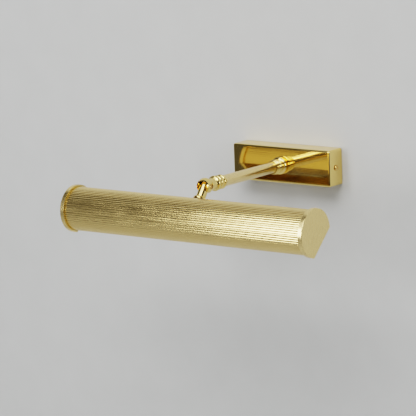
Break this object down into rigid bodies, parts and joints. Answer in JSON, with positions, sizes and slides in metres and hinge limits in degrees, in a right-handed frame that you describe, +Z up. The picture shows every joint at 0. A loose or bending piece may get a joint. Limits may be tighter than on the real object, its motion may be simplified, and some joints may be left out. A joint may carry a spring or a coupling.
{
  "type": "picture light",
  "caption": "Wall-mounted brass picture light: a small rectangular wall box, a straight arm, a tilting and swivelling knuckle and a long reeded trough shade.",
  "frame": {"origin": "middle of the wall bracket's back face, on the wall", "axes": "+X along the wall, +Y into the wall, +Z up; the arm reaches out along -Y"},
  "size_m": [0.308, 0.208, 0.0761],
  "materials": {
    "polished_brass": "polished and lacquered",
    "satin_brass": "polished sheet with fine lengthwise reeds",
    "plain_brass": "turned, unpolished",
    "zinc_steel": "zinc plated",
    "nickel": "nickel plated",
    "white_plastic": "moulded",
    "black_bakelite": "moulded",
    "lamp_glass": "clear tubular glass",
    "flex_sheath": "gold PVC sheath",
    "live_core": "PVC insulation",
    "neutral_core": "PVC insulation",
    "earth_core": "PVC insulation"
  },
  "bodies": {
    "wall_unit": {"wall_bracket": "zinc_steel", "box_cover": "polished_brass", "cover_screw_left": "plain_brass", "cover_screw_right": "plain_brass", "terminal_block": "white_plastic", "terminal_block_screw": "zinc_steel", "terminal_sleeve_live": "plain_brass", "terminal_sleeve_earth": "plain_brass", "terminal_sleeve_neutral_upper": "plain_brass", "terminal_sleeve_neutral_lower": "plain_brass", "clamp_screw_live_upper": "zinc_steel", "clamp_screw_live_lower": "zinc_steel", "clamp_screw_earth_upper": "zinc_steel", "clamp_screw_earth_lower": "zinc_steel", "earth_tag": "nickel", "earth_screw": "plain_brass", "arm_nipple": "plain_brass", "arm_lock_washer": "zinc_steel", "arm_lock_nut": "zinc_steel", "wall_collar": "polished_brass", "collar_ring": "polished_brass", "arm_tube": "polished_brass", "arm_ferrule": "polished_brass", "swivel_nipple": "plain_brass", "arm_flex": "flex_sheath", "core_live": "live_core", "core_neutral": "neutral_core", "core_earth": "earth_core"},
    "knuckle": {"knuckle_body": "polished_brass", "knuckle_lock_ring": "polished_brass", "pivot_screw_left": "plain_brass", "pivot_screw_right": "plain_brass"},
    "shade_head": {"shade_stem": "polished_brass", "stem_collar": "polished_brass", "stem_lock_washer": "zinc_steel", "stem_nut": "zinc_steel", "lamp_bracket": "zinc_steel", "shade": "satin_brass", "end_cap_left": "polished_brass", "end_cap_right": "polished_brass", "lampholder_left": "black_bakelite", "lampholder_right": "black_bakelite", "lampholder_nut_left": "zinc_steel", "lampholder_nut_right": "zinc_steel", "lamp_cap_left": "nickel", "lamp_cap_right": "nickel", "bulb_left": "lamp_glass", "bulb_right": "lamp_glass", "lamp_lead_left": "flex_sheath", "lamp_lead_right": "flex_sheath"}
  },
  "joints": [
    {"name": "knuckle_swivel", "type": "hinge", "parent": "wall_unit", "child": "knuckle", "pos_m": [0, -0.14, 0], "axis": [0, -1, 0], "range_deg": [-90, 90]},
    {"name": "shade_tilt", "type": "hinge", "parent": "knuckle", "child": "shade_head", "pos_m": [0, -0.1585, 0], "axis": [1, 0, 0], "range_deg": [-50, 39]}
  ]
}
